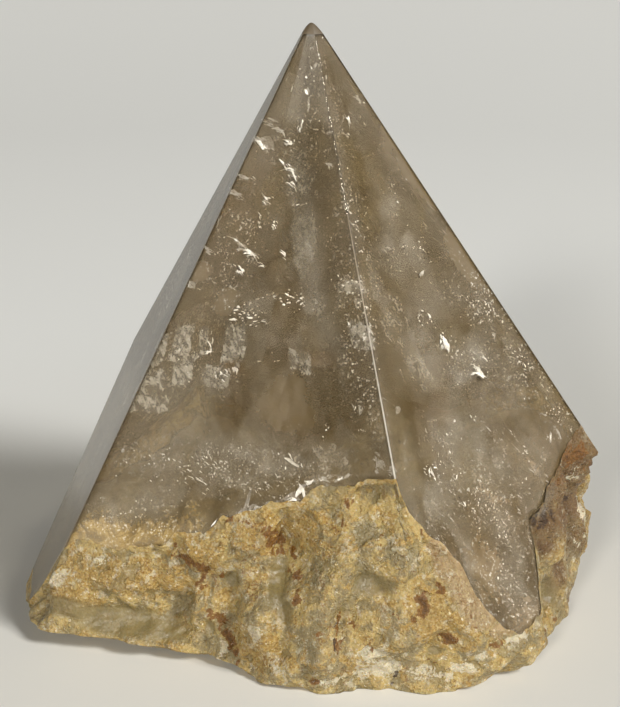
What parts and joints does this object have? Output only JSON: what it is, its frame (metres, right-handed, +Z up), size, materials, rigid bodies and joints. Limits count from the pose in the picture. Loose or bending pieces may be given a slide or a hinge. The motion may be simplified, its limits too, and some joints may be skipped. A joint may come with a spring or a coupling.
{
  "type": "polished quartz crystal point",
  "caption": "Smoky-clear quartz crystal ground to a faceted, sharp-tipped pyramid, with a broken, iron-stained natural foot that stands on a flat cut.",
  "frame": {"origin": "on the flat cut that the crystal rests on, straight below its apex", "axes": "+Z up through the apex, +X to the right and +Y away from the viewer, who faces the side with the sharp front ridge; the facets stand at uneven angles, so only +Z follows a feature"},
  "size_m": [0.0959, 0.0808, 0.0959],
  "materials": {
    "quartz": "polished facets, rough stained foot"
  },
  "bodies": {
    "root": {"quartz_point": "quartz"}
  },
  "joints": []
}
